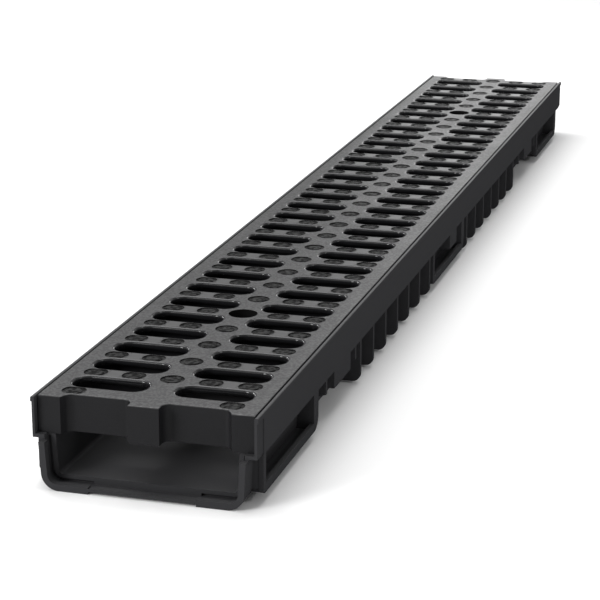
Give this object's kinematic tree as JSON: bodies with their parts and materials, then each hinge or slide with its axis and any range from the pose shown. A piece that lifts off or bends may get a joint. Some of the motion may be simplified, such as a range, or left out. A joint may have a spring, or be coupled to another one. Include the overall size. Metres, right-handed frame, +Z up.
{
  "type": "channel drain",
  "caption": "Shallow moulded drainage channel with a slotted walk-on grating, ribbed sides, a bell-shaped socket collar at one end and a spigot at the other.",
  "frame": {"origin": "middle of the overall box, on the ground plane under the feet", "axes": "+Y along the channel from the socket collar to the spigot, +Z up out of the grating, +X across"},
  "size_m": [0.13, 1.009, 0.052],
  "materials": {
    "channel_polypropylene": "satin",
    "grating_polypropylene": "satin, finely grained on top",
    "zinc_plated_steel": "satin zinc"
  },
  "bodies": {
    "root": {"channel_body": "channel_polypropylene", "grating": "grating_polypropylene", "locking_bar_near": "zinc_plated_steel", "locking_bar_far": "zinc_plated_steel", "locking_screw_near": "zinc_plated_steel", "locking_screw_far": "zinc_plated_steel"}
  },
  "joints": []
}
